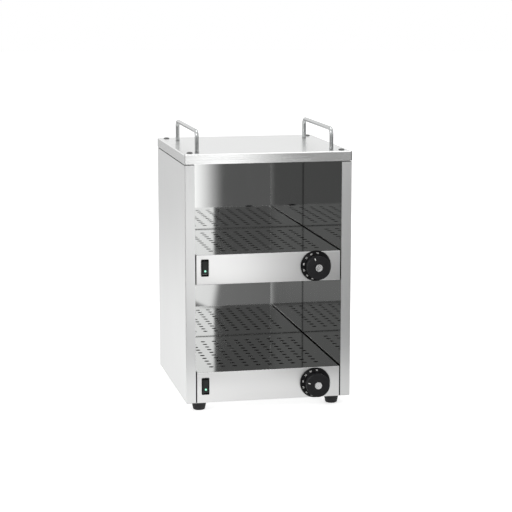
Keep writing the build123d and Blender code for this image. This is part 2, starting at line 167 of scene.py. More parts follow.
def rounded(points, radius, steps=5):
    """Outline whose inner corners are replaced by short arcs; a corner may give its own radius."""
    out = [points[0][:2]]
    for before, here, after in zip(points, points[1:], points[2:]):
        bend = here[2] if len(here) > 2 else radius
        at = Vector(here[:2])
        back = Vector(before[:2]) - at
        on = Vector(after[:2]) - at
        if bend <= 0:
            out.append(tuple(at))
            continue
        half = back.angle(on) / 2
        reach = min(bend / math.tan(half), back.length * MOST_OF_HALF, on.length * MOST_OF_HALF)
        start = at + back.normalized() * reach
        end = at + on.normalized() * reach
        for step in range(steps + 1):
            share = step / steps
            out.append(tuple(start.lerp(at, share).lerp(at.lerp(end, share), share)))
    out.append(points[-1][:2])
    return out


def strip(bm, outline, x0, x1):
    """Surface swept along X from (y, z) points in metres."""
    left, right = ([bm.verts.new((x, y, z)) for y, z in outline] for x in (x0, x1))
    for step in range(len(outline) - 1):
        bm.faces.new((left[step], right[step], right[step + 1], left[step + 1]))


def join_loops(bm, low, high):
    """Faces between two closed loops with the same number of corners."""
    for step in range(len(low)):
        after = (step + 1) % len(low)
        bm.faces.new((low[step], low[after], high[after], high[step]))


def prism(low_outline, high_outline):
    """Closed solid between two outlines with the same number of corners, in millimetres."""
    bm = bmesh.new()
    low, high = (
        [bm.verts.new([part * MM for part in point]) for point in outline] for outline in (low_outline, high_outline)
    )
    join_loops(bm, low, high)
    bm.faces.new(low)
    bm.faces.new(high)
    bmesh.ops.recalc_face_normals(bm, faces=bm.faces)
    return bm


def finish_piece(piece, body, slot_name, *nodes):
    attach(piece, body)
    if nodes:
        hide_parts(*nodes)
    return piece


# Node work
def add_node(tree, kind, links=None, **settings):
    """New node with its settings; each input gets a link from a socket, or a plain value."""
    made = tree.nodes.new(kind)
    for key, value in settings.items():
        setattr(made, key, value)
    for socket, source in (links or {}).items():
        target = made.inputs[socket]
        if isinstance(source, bpy.types.NodeSocket):
            tree.links.new(source, target)
        else:
            target.default_value = source
    return made


def output(tree, kind, links=None, **settings):
    """First output of a new node."""
    return add_node(tree, kind, links, **settings).outputs[0]


def calculated(tree, operation, *values):
    """Result of a mathematical node, for all three kinds of tree."""
    return output(tree, "ShaderNodeMath", dict(enumerate(values)), operation=operation)


class Tree:
    """A geometry node tree with named inputs, built left to right."""

    def __init__(self, name, **inputs):
        self.group = bpy.data.node_groups.new(name, "GeometryNodeTree")
        add_socket = self.group.interface.new_socket
        add_socket("Geometry", in_out="INPUT", socket_type="NodeSocketGeometry")
        kinds = {float: "NodeSocketFloat", int: "NodeSocketInt", bpy.types.Object: "NodeSocketObject"}
        self.values = {}
        for label, value in inputs.items():
            item = add_socket(label.replace("_", " "), in_out="INPUT", socket_type=kinds[type(value)])
            self.values[item.identifier] = value
        add_socket("Geometry", in_out="OUTPUT", socket_type="NodeSocketGeometry")
        self.start = self.group.nodes.new("NodeGroupInput")
        self.end = self.group.nodes.new("NodeGroupOutput")

    def node(self, kind, links=None, **settings):
        return add_node(self.group, kind, links, **settings)

    def out(self, kind, links=None, **settings):
        return output(self.group, kind, links, **settings)

    def value(self, label):
        return self.start.outputs[label.replace("_", " ")]

    def math(self, operation, first, second):
        return calculated(self.group, operation, first, second)

    def grid(self):
        """Flat grid of points from the inputs Columns, Rows, Pitch X and Pitch Y."""
        columns, rows = self.value("Columns"), self.value("Rows")
        span_x = self.math("MULTIPLY", self.value("Pitch_X"), self.math("SUBTRACT", columns, 1.0))
        span_y = self.math("MULTIPLY", self.value("Pitch_Y"), self.math("SUBTRACT", rows, 1.0))
        links = {"Size X": span_x, "Size Y": span_y, "Vertices X": columns, "Vertices Y": rows}
        return self.node("GeometryNodeMeshGrid", links).outputs["Mesh"]

    def joined(self, *parts):
        made = self.node("GeometryNodeJoinGeometry")
        for part in parts:
            self.group.links.new(part, made.inputs[0])
        return made.outputs[0]

    def close(self, geometry, material, part=None, part_material=None):
        """Realizes the instances, sets the finishes and ends the tree; a part may have its own."""
        real = self.out("GeometryNodeRealizeInstances", {"Geometry": geometry})
        done = self.out("GeometryNodeSetMaterial", {"Geometry": real, "Material": material})
        if part:
            links = {"Geometry": done, "Selection": part, "Material": part_material}
            done = self.out("GeometryNodeSetMaterial", links)
        self.group.links.new(done, self.end.inputs[0])

    def bake(self, name):
        """Runs the tree on an empty mesh and returns a plain mesh object."""
        holder = linked(name + "_maker", bpy.data.meshes.new(name + "_maker"))
        modifier = holder.modifiers.new("Make", "NODES")
        modifier.node_group = self.group
        for identifier, value in self.values.items():
            modifier[identifier] = value
        mesh = shown_mesh(holder)
        mesh.name = name
        bpy.data.objects.remove(holder)
        return linked(name, mesh)


def repeat_on_grid(name, unit, counts, pitches, matrix, material):
    """Copies of a small mesh object on a flat grid, then moved to their plane by a matrix."""
    tree = Tree(name, Columns=counts[0], Rows=counts[1], Pitch_X=pitches[0], Pitch_Y=pitches[1], Unit=unit)
    shape = tree.node("GeometryNodeObjectInfo", {"Object": tree.value("Unit")}).outputs["Geometry"]
    tree.close(tree.out("GeometryNodeInstanceOnPoints", {"Points": tree.grid(), "Instance": shape}), material)
    piece = tree.bake(name)
    piece.data.transform(matrix)
    bpy.data.objects.remove(unit)
    return shade(piece)


# Finishes
SCRATCHES_ACROSS = 900.0
SCRATCHES_ALONG = 9.0
# Painted shade for narrow gaps and inner corners: how far the occlusion looks, and the darkest tone it paints
GAP_SHADE_REACH = 4.5 * MM
GAP_SHADE_TONE = 0.06


class Finish:
    """A node material built round one Principled shader."""

    def __init__(self, name, colour, metallic, roughness, **sockets):
        self.material = bpy.data.materials.new(name)
        self.material.use_nodes = True
        self.tree = self.material.node_tree
        self.shader = self.tree.nodes["Principled BSDF"]
        self.shader.inputs["Metallic"].default_value = metallic
        self.shader.inputs["Roughness"].default_value = roughness
        self.shader.inputs["Base Color"].default_value = (*colour, 1.0)
        for socket, value in sockets.items():
            self.shader.inputs[socket.replace("_", " ")].default_value = value
        self.place = self.add("ShaderNodeTexCoord").outputs["Object"]

    def add(self, kind, links=None, **settings):
        return add_node(self.tree, kind, links, **settings)

    def stretched(self, scale):
        """Object coordinates with each axis scaled, which draws a pattern out along an axis."""
        return self.add("ShaderNodeMapping", {"Vector": self.place, "Scale": scale}).outputs[0]

    def noise(self, vector, scale, detail=4.0, roughness=0.5):
        links = {"Vector": vector, "Scale": scale, "Detail": detail, "Roughness": roughness}
        return self.add("ShaderNodeTexNoise", links).outputs["Fac"]

    def ranged(self, value, low, high, out_low, out_high):
        links = {"Value": value, "From Min": low, "From Max": high, "To Min": out_low, "To Max": out_high}
        return self.add("ShaderNodeMapRange", links).outputs["Result"]

    def mixed(self, factor, first, second):
        made = self.add("ShaderNodeMix", {"Factor": factor}, data_type="RGBA")
        made.inputs[6].default_value = (*first, 1.0)
        made.inputs[7].default_value = (*second, 1.0)
        return made.outputs[2]

    def painted_gap_shade(self, colour):
        """The colour with painted shade: darkened in narrow gaps and inner corners, where shade falls."""
        made = self.add("ShaderNodeAmbientOcclusion", {"Distance": GAP_SHADE_REACH}, samples=6)
        shadow = self.ranged(made.outputs["AO"], 0.35, 0.85, GAP_SHADE_TONE, 1.0)
        grey = self.add("ShaderNodeCombineColor", {0: shadow, 1: shadow, 2: shadow}).outputs[0]
        mix = self.add("ShaderNodeMix", {"Factor": 1.0}, data_type="RGBA", blend_type="MULTIPLY")
        self.tree.links.new(colour, mix.inputs[6])
        self.tree.links.new(grey, mix.inputs[7])
        return mix.outputs[2]

    def drive(self, socket, source):
        self.tree.links.new(source, self.shader.inputs[socket])

    def bump(self, height, strength, distance):
        made = self.add("ShaderNodeBump", {"Height": height, "Strength": strength, "Distance": distance})
        self.drive("Normal", made.outputs[0])
        return self.material

    def mottle(self, pattern, low_colour, high_colour, low_roughness, high_roughness):
        self.drive("Base Color", self.mixed(pattern, low_colour, high_colour))
        self.drive("Roughness", self.ranged(pattern, 0.3, 0.7, low_roughness, high_roughness))


def tint(colour, factor):
    return tuple(min(1.0, channel * factor) for channel in colour)


def brushed_steel(name, colour, grain_axis, roughness=0.34, grain=0.025):
    """Satin stainless: fine scratches drawn out along one axis, over faint cloudy wear."""
    finish = Finish(name, colour, 1.0, roughness)
    scale = [SCRATCHES_ACROSS] * 3
    scale[grain_axis] = SCRATCHES_ALONG
    scratches = finish.noise(finish.stretched(scale), 1.0, 3.0, 0.65)
    clouds = finish.noise(finish.place, 7.0, 3.0)
    shine = finish.ranged(scratches, 0.3, 0.7, roughness - grain, roughness + grain)
    finish.drive("Roughness", shine)
    # The colour takes painted shade in narrow gaps and inner corners.
    finish.drive("Base Color", finish.painted_gap_shade(finish.mixed(clouds, tint(colour, 0.97), tint(colour, 1.03))))
    return finish.bump(scratches, 0.012, 0.0001)


def polished_steel(name, colour, roughness=0.03):
    """Bright annealed sheet: near mirror, with a faint roll ripple and wiping marks."""
    finish = Finish(name, colour, 1.0, roughness)
    ripple = finish.noise(finish.stretched((2.0, 2.0, 5.0)), 1.0, 1.0)
    wiped = finish.noise(finish.stretched((40.0, 40.0, 12.0)), 1.0, 5.0, 0.6)
    finish.drive("Roughness", finish.ranged(wiped, 0.35, 0.75, roughness * 0.7, roughness * 1.7))
    # The colour takes painted shade in narrow gaps and inner corners.
    finish.drive("Base Color", finish.painted_gap_shade(finish.mixed(wiped, tint(colour, 0.96), tint(colour, 1.02))))
    return finish.bump(ripple, 0.01, 0.002)


def moulded_plastic(name, colour, roughness=0.38, texture=0.1, sheen=0.25):
    """Moulded thermoplastic with a fine spark texture and slight shade changes."""
    finish = Finish(name, colour, 0.0, roughness, Specular_IOR_Level=sheen)
    spark = finish.noise(finish.place, 2600.0, 2.0)
    clouds = finish.noise(finish.place, 90.0, 3.0)
    finish.mottle(clouds, tint(colour, 0.85), tint(colour, 1.2), roughness - 0.05, roughness + 0.08)
    return finish.bump(spark, texture, 0.00006)


def soft_rubber(name, colour):
    finish = Finish(name, colour, 0.0, 0.72)
    dust = finish.noise(finish.place, 260.0, 5.0, 0.7)
    finish.mottle(dust, tint(colour, 0.8), tint(colour, 1.8), 0.62, 0.82)
    return finish.bump(dust, 0.2, 0.0001)


def plated_metal(name, colour, roughness=0.3):
    """Small turned or stamped hardware with a lightly mottled plating."""
    finish = Finish(name, colour, 1.0, roughness)
    grain = finish.noise(finish.place, 420.0, 4.0, 0.6)
    finish.mottle(grain, tint(colour, 0.85), tint(colour, 1.1), roughness - 0.08, roughness + 0.1)
    return finish.bump(grain, 0.05, 0.0001)


def heat_darkened(name, colour):
    """Heater sheath: steel browned unevenly along its length."""
    finish = Finish(name, colour, 1.0, 0.45)
    bands = finish.noise(finish.stretched((18.0, 30.0, 18.0)), 1.0, 4.0, 0.6)
    finish.mottle(bands, tint(colour, 0.6), (0.45, 0.36, 0.28), 0.35, 0.6)
    return finish.bump(bands, 0.1, 0.0002)


def printed_mark(name, colour):
    finish = Finish(name, colour, 0.0, 0.5)
    ink = finish.noise(finish.place, 1800.0, 3.0)
    finish.drive("Base Color", finish.mixed(ink, tint(colour, 0.88), colour))
    return finish.bump(ink, 0.05, 0.00005)


def lit_window(name, colour, strength, centre, reach):
    """Translucent lamp window that glows, almost white at its middle."""
    finish = Finish(name, colour, 0.0, 0.2)
    links = {0: finish.place, 1: centre}
    away = finish.add("ShaderNodeVectorMath", links, operation="DISTANCE").outputs["Value"]
    core = finish.ranged(away, 0.2 * reach, reach, 0.85, 0.0)
    grain = finish.noise(finish.place, 900.0, 2.0)
    finish.drive("Base Color", finish.mixed(grain, tint(colour, 0.7), colour))
    finish.drive("Emission Color", finish.mixed(core, colour, (0.9, 1.0, 0.95)))
    finish.shader.inputs["Emission Strength"].default_value = strength
    return finish.material


def dress(nodes, material):
    """Gives CAD nodes their finish."""
    for node in nodes:
        piece = frame["nodes"][node]
        piece.data.materials.clear()
        piece.data.materials.append(material)


# Settings that a user would change
class CabinetFinishes(bpy.types.PropertyGroup):
    casing_colour: bpy.props.FloatVectorProperty(
        name="Casing", description="Satin steel of the casing", subtype="COLOR", default=(0.82, 0.825, 0.82)
    )
    fascia_colour: bpy.props.FloatVectorProperty(
        name="Fascia", description="Brushed steel of the fascias", subtype="COLOR", default=(0.84, 0.84, 0.835)
    )
    liner_colour: bpy.props.FloatVectorProperty(
        name="Liner", description="Polished inner sheet", subtype="COLOR", default=(0.56, 0.565, 0.56)
    )
    plastic_colour: bpy.props.FloatVectorProperty(
        name="Plastic", description="Black mouldings", subtype="COLOR", default=(0.006, 0.006, 0.0065)
    )
    lamp_colour: bpy.props.FloatVectorProperty(
        name="Lamp", description="Window of the lit switch", subtype="COLOR", default=(0.08, 0.6, 0.36)
    )
    mark_colour: bpy.props.FloatVectorProperty(
        name="Marks", description="Printed scale and pointer", subtype="COLOR", default=(0.8, 0.8, 0.78)
    )


class CabinetSizes(bpy.types.PropertyGroup):
    perforation: bpy.props.FloatProperty(
        name="Perforation", description="Diameter of a shelf hole", unit="LENGTH", default=9.8 * MM
    )
    pitch_x: bpy.props.FloatProperty(
        name="Pitch across", description="Hole spacing across the shelf", unit="LENGTH", default=23.6 * MM
    )
    pitch_y: bpy.props.FloatProperty(
        name="Pitch back", description="Hole spacing from front to back", unit="LENGTH", default=25.0 * MM
    )
    columns: bpy.props.IntProperty(name="Columns", description="Holes across", default=10)
    rows: bpy.props.IntProperty(name="Rows", description="Holes from front to back", default=10)
    first_row: bpy.props.FloatProperty(
        name="First row", description="From the front to the first holes", unit="LENGTH", default=45.0 * MM
    )
    sheet: bpy.props.FloatProperty(
        name="Sheet", description="Thickness of the folded sheet", unit="LENGTH", default=1.0 * MM
    )
    numeral_height: bpy.props.FloatProperty(
        name="Numerals", description="Height of the dial's numbers", unit="LENGTH", default=4.6 * MM
    )


class StudioSettings(bpy.types.PropertyGroup):
    azimuth: bpy.props.FloatProperty(
        name="Azimuth", description="Camera turn to the right", subtype="ANGLE", default=math.radians(-11.978)
    )
    elevation: bpy.props.FloatProperty(
        name="Elevation", description="Camera height over the target", subtype="ANGLE", default=math.radians(9.76)
    )
    distance: bpy.props.FloatProperty(name="Distance", description="Camera distance", unit="LENGTH", default=3.4288)
    lens: bpy.props.FloatProperty(name="Lens", description="Focal length", unit="CAMERA", default=118.34)
    target: bpy.props.FloatVectorProperty(
        name="Target", description="Point that the camera looks at", subtype="XYZ", default=(0.0099, 0.0035, 0.2769)
    )
    key_power: bpy.props.FloatProperty(name="Key", description="Power of the key lamp", unit="POWER", default=26.0)
    fill: bpy.props.FloatProperty(name="Fill", description="Strength of the room's light", default=0.62)


def finishes():
    return bpy.context.scene.cabinet_finishes


def sizes():
    return bpy.context.scene.cabinet_sizes


def studio():
    return bpy.context.scene.cabinet_studio


def shared(name, make, *looks):
    """A finish made once and used by several pieces."""
    return bpy.data.materials.get(name) or make(name, *looks)


def black_moulding():
    return shared("black_moulding", moulded_plastic, finishes().plastic_colour, 0.3, 0.1, 0.06)


def hardware_metal():
    return shared("hardware_metal", plated_metal, (0.55, 0.56, 0.57))


def scale_white():
    return shared("scale_white", printed_mark, finishes().mark_colour)


# Casing and inside
class CABINET_OT_casing(bpy.types.Operator):
    """Finish the casing, the lid and the polished inside"""

    bl_idname = "warming_cabinet.casing"
    bl_label = "Casing"

    def execute(self, context):
        colours = finishes()
        upright = brushed_steel("casing_satin", colours.casing_colour, 2)
        dress(("left_side_panel", "right_side_panel", "rear_panel"), upright)
        lid = brushed_steel("lid_satin", colours.casing_colour, 0, 0.24, 0.04)
        dress(("lid",), lid)
        liner = polished_steel("liner_mirror", colours.liner_colour)
        dress(("left_liner", "right_liner", "rear_liner"), liner)
        # The pieces underneath take the casing steel darkened to 0.8: painted shade, for parts that sit low and under
        # the shelves.
        under = brushed_steel("underside_painted_shade_satin", tint(colours.casing_colour, 0.8), 0, 0.42)
        dress(("base_plate", "upper_tray_cover", "left_shelf_bracket", "right_shelf_bracket"), under)
        return {"FINISHED"}


# Heated shelves
HOLE_SIDES = 28
REAR_FLANGE = 24.0 * MM
FASCIA_RETURN = 12.0 * MM


def perforated_sheet(level, material, wall_shade_material):
    """The flat of one shelf, filled between its edge and its holes and given its thickness."""
    setting = sizes()
    low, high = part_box(level + "_shelf_tray")
    bend = 2 * setting.sheet
    tree = Tree(
        level + "_perforated_sheet",
        Width=high.x - low.x - 2 * bend,
        Length=high.y - low.y - 2 * bend,
        Thickness=setting.sheet,
        Hole=setting.perforation,
        Columns=setting.columns,
        Rows=setting.rows,
        Pitch_X=setting.pitch_x,
        Pitch_Y=setting.pitch_y,
    )
    links = {"Width": tree.value("Width"), "Height": tree.value("Length")}
    edge = tree.out("GeometryNodeCurvePrimitiveQuadrilateral", links)
    middle_y = front_face() + setting.first_row + setting.pitch_y * (setting.rows - 1) / 2
    centre = middle(low, high)
    centre.z = high.z
    links = {"Geometry": tree.grid(), "Translation": (0, middle_y - centre.y, 0)}
    placed = tree.out("GeometryNodeTransform", links)
    links = {"Resolution": HOLE_SIDES, "Radius": tree.math("MULTIPLY", tree.value("Hole"), 0.5)}
    circle = tree.out("GeometryNodeCurvePrimitiveCircle", links)
    holes = tree.out("GeometryNodeInstanceOnPoints", {"Points": placed, "Instance": circle})
    loops = tree.out("GeometryNodeRealizeInstances", {"Geometry": holes})
    flat = tree.out("GeometryNodeFillCurve", {"Curve": tree.joined(loops, edge)})
    depth = tree.math("MULTIPLY", tree.value("Thickness"), -1.0)
    drop = tree.out("ShaderNodeCombineXYZ", {"Z": depth})
    walls = tree.node("GeometryNodeExtrudeMesh", {"Mesh": flat, "Offset": drop, "Individual": False}).outputs
    links = {"Geometry": tree.joined(walls["Mesh"], flat), "Distance": TINY}
    merged = tree.out("GeometryNodeMergeByDistance", links)
    # The side walls of the holes and of the sheet's edge take the near black painted shade.
    tree.close(merged, material, walls["Side"], wall_shade_material)
    piece = tree.bake(level + "_perforated_sheet")
    piece.data.transform(Matrix.Translation(centre))
    with edited(piece.data) as bm:
        bmesh.ops.recalc_face_normals(bm, faces=bm.faces)
    return shade(piece, 30.0)


def tray_folds(level, material):
    """Fascia, bends and flanges of one shelf, as one folded strip with a second across it."""
    low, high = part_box(level + "_shelf_tray")
    sheet = sizes().sheet
    bend = 2 * sheet
    bm = bmesh.new()
    front_run = [(low.y + FASCIA_RETURN, low.z), (low.y, low.z), (low.y, high.z), (low.y + bend, high.z)]
    rear_run = [(high.y - bend, high.z), (high.y, high.z), (high.y, high.z - REAR_FLANGE)]
    for run in (front_run, rear_run):
        strip(bm, rounded(run, bend, 6), low.x, high.x)
    for edge, inward in ((low.x, 1), (high.x, -1)):
        run = [(edge, low.z + sheet), (edge, high.z), (edge + inward * bend, high.z)]
        points = rounded(run, bend, 6)
        near, far = ([bm.verts.new((x, y, z)) for x, z in points] for y in (low.y + bend, high.y - bend))
        for step in range(len(points) - 1):
            corners = (near[step], near[step + 1], far[step + 1], far[step])
            bm.faces.new(corners[::inward])
    piece = mesh_object(level + "_fascia", bm, material)
    orient_out(piece, middle(low, high))
    solid = piece.modifiers.new("Sheet", "SOLIDIFY")
    solid.thickness = sheet
    solid.offset = -1.0
    return shade(piece, 40.0)


def orient_out(piece, centre):
    """Turns each face of an open shell so that it looks away from a point inside."""
    with edited(piece.data) as bm:
        turned = [face for face in bm.faces if face.normal.dot(face.calc_center_median() - centre) < 0]
        bmesh.ops.reverse_faces(bm, faces=turned)


class CABINET_OT_shelves(bpy.types.Operator):
    """Perforated shelves with their folded fascias"""

    bl_idname = "warming_cabinet.shelves"
    bl_label = "Heated shelves"

    def execute(self, context):
        colours = finishes()
        bright = polished_steel("shelf_mirror", colours.liner_colour, 0.025)
        # Near black hole walls: painted shade for the dark space seen through the holes, not the bright punched
        # steel.
        hole_wall_shade = plated_metal("hole_wall_painted_shade", (0.05, 0.05, 0.05), 0.5)
        face = brushed_steel("fascia_satin", colours.fascia_colour, 0, 0.3, 0.02)
        for level in LEVELS:
            tray = level + "_shelf_tray"
            finish_piece(perforated_sheet(level, bright, hole_wall_shade), CABINET, "polished_steel", tray)
            finish_piece(tray_folds(level, face), CABINET, "fascia_steel", tray)
        return {"FINISHED"}


# Rails
RAIL_BEND = 11.0 * MM
STUD_RADIUS = 3.0


def rail_bar(hand, low, high, lid_top, steel):
    """One bar bent twice: a filleted line with a round section."""
    bar = high.x - low.x
    name = hand + "_rail_bar"
    tree = Tree(name, Bar=bar, Reach=high.y - low.y - bar, Rise=high.z - bar / 2 - lid_top, Bend=RAIL_BEND)
    half = tree.math("MULTIPLY", tree.value("Reach"), 0.5)
    back = tree.math("MULTIPLY", half, -1.0)
    rise = tree.value("Rise")
    links = {}
    for index, (y, z) in enumerate(((back, 0.0), (back, rise), (half, rise), (half, 0.0)), 1):
        links["Point %d" % index] = tree.out("ShaderNodeCombineXYZ", {"Y": y, "Z": z})
    line = tree.out("GeometryNodeCurvePrimitiveQuadrilateral", links, mode="POINTS")
    opened = tree.out("GeometryNodeSetSplineCyclic", {"Geometry": line, "Cyclic": False})
    links = {"Curve": opened, "Radius": tree.value("Bend"), "Count": 10, "Limit Radius": True}
    bent = tree.out("GeometryNodeFilletCurve", links, mode="POLY")
    links = {"Resolution": 32, "Radius": tree.math("MULTIPLY", tree.value("Bar"), 0.5)}
    ring = tree.out("GeometryNodeCurvePrimitiveCircle", links)
    links = {"Curve": bent, "Profile Curve": ring, "Fill Caps": True}
    tree.close(tree.out("GeometryNodeCurveToMesh", links), steel)
    piece = tree.bake(name)
    centre = middle(low, high)
    centre.z = lid_top
    piece.data.transform(Matrix.Translation(centre))
    return shade(piece, 50.0)


def rail_studs(hand, low, high, lid_top):
    """The two studs that hold one bar through the lid."""
    half = (high.x - low.x) / 2
    length = (lid_top - low.z) / MM
    studs = bmesh.new()
    for y in (low.y + half, high.y - half):
        one = lathe([(0, 0), (STUD_RADIUS, 0), (STUD_RADIUS, length), (0, length)], 24)
        mesh = bpy.data.meshes.new("stud")
        one.to_mesh(mesh)
        one.free()
        mesh.transform(Matrix.Translation((middle(low, high).x, y, low.z)))
        studs.from_mesh(mesh)
        bpy.data.meshes.remove(mesh)
    return shade(mesh_object(hand + "_rail_studs", studs, hardware_metal()))


class CABINET_OT_rails(bpy.types.Operator):
    """Bent round bars on the lid"""

    bl_idname = "warming_cabinet.rails"
    bl_label = "Guard rails"

    def execute(self, context):
        steel = brushed_steel("rail_satin", (0.5, 0.51, 0.51), 1, 0.12, 0.03)
        lid_top = corner("lid", 1, 2)
        for hand in ("left", "right"):
            rail = hand + "_rail"
            low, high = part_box(rail)
            bar = rail_bar(hand, low, high, lid_top, steel)
            studs = rail_studs(hand, low, high, lid_top)
            finish_piece(bar, CABINET, "rail_steel", rail)
            finish_piece(studs, CABINET, "plated_steel", rail)
        return {"FINISHED"}


# Screws, feet and gland
LID_SCREW_HEAD = 12.0
LID_SCREW_RECESS = 5.2
REAR_SCREW_HEAD = 8.0
REAR_SCREW_RECESS = 3.8
RECESS_WIDTH = 0.24
RECESS_DEPTH = 1.2
# Shares of the head's diameter and of its rise
DOME = ((0.12, 1.0), (0.3, 0.93), (0.42, 0.68), (0.49, 0.3), (0.5, 0.0))


def screw_unit(head, rise, recess):
    """Low domed head with a cross recess, about its seat, in millimetres."""
    outline = [(0, rise), *((head * across, rise * up) for across, up in DOME), (0, 0.0)]
    unit = mesh_object("screw_unit", lathe(outline, 40))
    cutter = bmesh.new()
    for turn in (0.0, math.pi / 2):
        size = Matrix.Diagonal((recess * MM, recess * RECESS_WIDTH * MM, rise * RECESS_DEPTH * MM, 1.0))
        place = Matrix.Rotation(turn, 4, "Z") @ Matrix.Translation((0, 0, rise * MM)) @ size
        bmesh.ops.create_cube(cutter, size=1.0, matrix=place)
    cross = mesh_object("screw_recess", cutter)
    cut = unit.modifiers.new("Recess", "BOOLEAN")
    cut.object = cross
    cut.operation = "DIFFERENCE"
    cut.solver = "EXACT"
    cut.use_self = True
    mesh = shown_mesh(unit)
    unit.modifiers.clear()
    unit.data = mesh
    bpy.data.objects.remove(cross)
    return unit


def screw_heads(node, head, recess, axis, seat, rows, slot_name, material):
    """Two columns of heads in the node's box, which stand on a plane across one axis."""
    low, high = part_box(node)
    centre = middle(low, high)
    centre[axis] = seat
    across, along = (high[side] - low[side] - head * MM for side in range(3) if side != axis)
    unit = screw_unit(head, (high[axis] - seat) / MM, recess)
    matrix = facing_back(centre) if axis == 1 else Matrix.Translation(centre)
    name = node[:-1] + "_heads"
    heads = repeat_on_grid(name, unit, (2, rows), (across, along / (rows - 1)), matrix, material)
    finish_piece(heads, CABINET, slot_name, node)


class CABINET_OT_fixings(bpy.types.Operator):
    """Screws on the lid and the back, nuts and the cable gland"""

    bl_idname = "warming_cabinet.fixings"
    bl_label = "Fixings"

    def execute(self, context):
        metal = hardware_metal()
        grey = moulded_plastic("cap_grey", (0.1, 0.1, 0.1), 0.3, 0.05, 0.5)
        top = corner("lid", 1, 2)
        screw_heads("lid_screws", LID_SCREW_HEAD, LID_SCREW_RECESS, 2, top, 2, "black_plastic", grey)
        back = corner("rear_panel", 1, 1)
        screw_heads("rear_screws", REAR_SCREW_HEAD, REAR_SCREW_RECESS, 1, back, 3, "plated_steel", metal)
        dress(("rail_nuts", "foot_screws", "foot_nuts"), metal)
        dress(("cable_gland", "gland_nut"), black_moulding())
        return {"FINISHED"}


FOOT_TREAD = 11.5
FOOT_WELL = 4.8
FOOT_WELL_DEPTH = 10.0
FOOT_BORE = 2.6
FOOT_SHOULDER = 1.8


class CABINET_OT_feet(bpy.types.Operator):
    """Tapered rubber feet"""

    bl_idname = "warming_cabinet.feet"
    bl_label = "Feet"

    def execute(self, context):
        low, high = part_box("left_front_foot")
        top = (high.x - low.x) / MM / 2
        tall = (high.z - low.z) / MM
        outline = [
            (FOOT_WELL, FOOT_WELL_DEPTH),
            (FOOT_WELL, 0.0),
            (FOOT_TREAD, 0.0, 3.0),
            (top - 0.6, tall - FOOT_SHOULDER - 0.4, 0.5),
            (top, tall - FOOT_SHOULDER, 0.4),
            (top, tall),
            (FOOT_BORE, tall),
            (FOOT_BORE, FOOT_WELL_DEPTH),
        ]
        unit = mesh_object("foot_unit", lathe(rounded(outline, 0.0, 6), 72))
        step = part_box("right_rear_foot")[0] - low
        centre = middle(low, high + step)
        centre.z = low.z
        rubber = soft_rubber("foot_rubber", (0.012, 0.012, 0.013))
        feet = repeat_on_grid("feet", unit, (2, 2), (step.x, step.y), Matrix.Translation(centre), rubber)
        nodes = [hand + "_" + end + "_foot" for hand in ("left", "right") for end in ("front", "rear")]
        finish_piece(feet, CABINET, "foot_rubber", *nodes)
        return {"FINISHED"}


# Dials, in millimetres and degrees
RING_BORE = 11.0
RING_EDGE = 2.0
RING_HEIGHT = 8.0
RING_CROWN = 22.6
RING_OUTER = 30.0
KNOB_GAP = 0.4
KNOB_BASE = 22.0
KNOB_FACE = 23.25
KNOB_REACH = 29.0
KNOB_WALL = 2.0
KNOB_ROOF = 3.0
KNOB_CHAMFER = 1.2
BEAD_RADIUS = 12.15
BEAD_RISE = 0.6
CAP_RADIUS = 7.0
CAP_SEAT = 1.6
CAP_RISE = 0.4
CAP_DISH = 0.1
MARK_INNER = KNOB_FACE - 6.6
MARK_OUTER = KNOB_FACE - 1.6
MARK_HALF = 0.9
MARK_RISE = 0.1
MARK_SUNK = 0.4
SCALE_START = 169.0
SCALE_STEP = 28.0
SCALE_NUMBERS = ("20", "30", "40", "50", "60", "70", "80", "90")
OFF_TURN = 90.0
NUMERAL_DEPTH = 0.03
NUMERAL_SHIFT = -0.9


def slope_matrix(turn):
    """A place on the ring's slope: X runs along the ring, Y up the slope and Z out of it."""
    radius = (RING_OUTER + RING_CROWN) / 2
    height = (RING_EDGE + RING_HEIGHT) / 2
    lean = math.atan2(RING_HEIGHT - RING_EDGE, RING_OUTER - RING_CROWN)
    out = Matrix.Rotation(-math.radians(turn), 4, "Z") @ Matrix.Translation((0, radius * MM, height * MM))
    return out @ Matrix.Rotation(-lean, 4, "X")


def numeral(text, turn, height):
    """One number of the scale, near the slope's middle and upright when the ring is turned to it."""
    curve = bpy.data.curves.new("numeral", "FONT")
    curve.body = text
    curve.size = height
    curve.align_x = "CENTER"
    curve.align_y = "CENTER"
    curve.extrude = NUMERAL_DEPTH * MM
    curve.offset = 0.004 * height
    holder = linked("numeral", curve)
    mesh = shown_mesh(holder)
    bpy.data.objects.remove(holder)
    mesh.transform(slope_matrix(turn) @ Matrix.Translation((0, NUMERAL_SHIFT * MM, 0.05 * MM)))
    return mesh


def dial_scale(level, place):
    """Numbers on the ring, with a zero where the dial is off."""
    bm = bmesh.new()
    turns = [(text, SCALE_START + SCALE_STEP * index) for index, text in enumerate(SCALE_NUMBERS)]
    for text, turn in (*turns, ("0", OFF_TURN)):
        mesh = numeral(text, turn, sizes().numeral_height)
        bm.from_mesh(mesh)
        bpy.data.meshes.remove(mesh)
    piece = mesh_object(level + "_dial_scale", bm, scale_white())
    piece.data.transform(facing_front(place))
    return finish_piece(piece, CABINET, "white_mark")


def turned_piece(name, outline, segments, place, material):
    """Turned solid whose axis comes out of the fascia."""
    piece = mesh_object(name, lathe(rounded(outline, 0.0), segments), material)
    piece.data.transform(facing_front(place))
    return shade(piece)


def dial_ring(level, place):
    inside = RING_HEIGHT - 0.1
    outline = [
        (RING_BORE, 0.0),
        (RING_OUTER, 0.0),
        (RING_OUTER, RING_EDGE, 0.5),
        (RING_CROWN, RING_HEIGHT, 0.4),
        (KNOB_BASE, inside, 0.1),
        (RING_BORE, inside),
    ]
    piece = turned_piece(level + "_scale_ring", outline, 128, place, black_moulding())
    return finish_piece(piece, CABINET, "black_plastic", level + "_dial_ring")


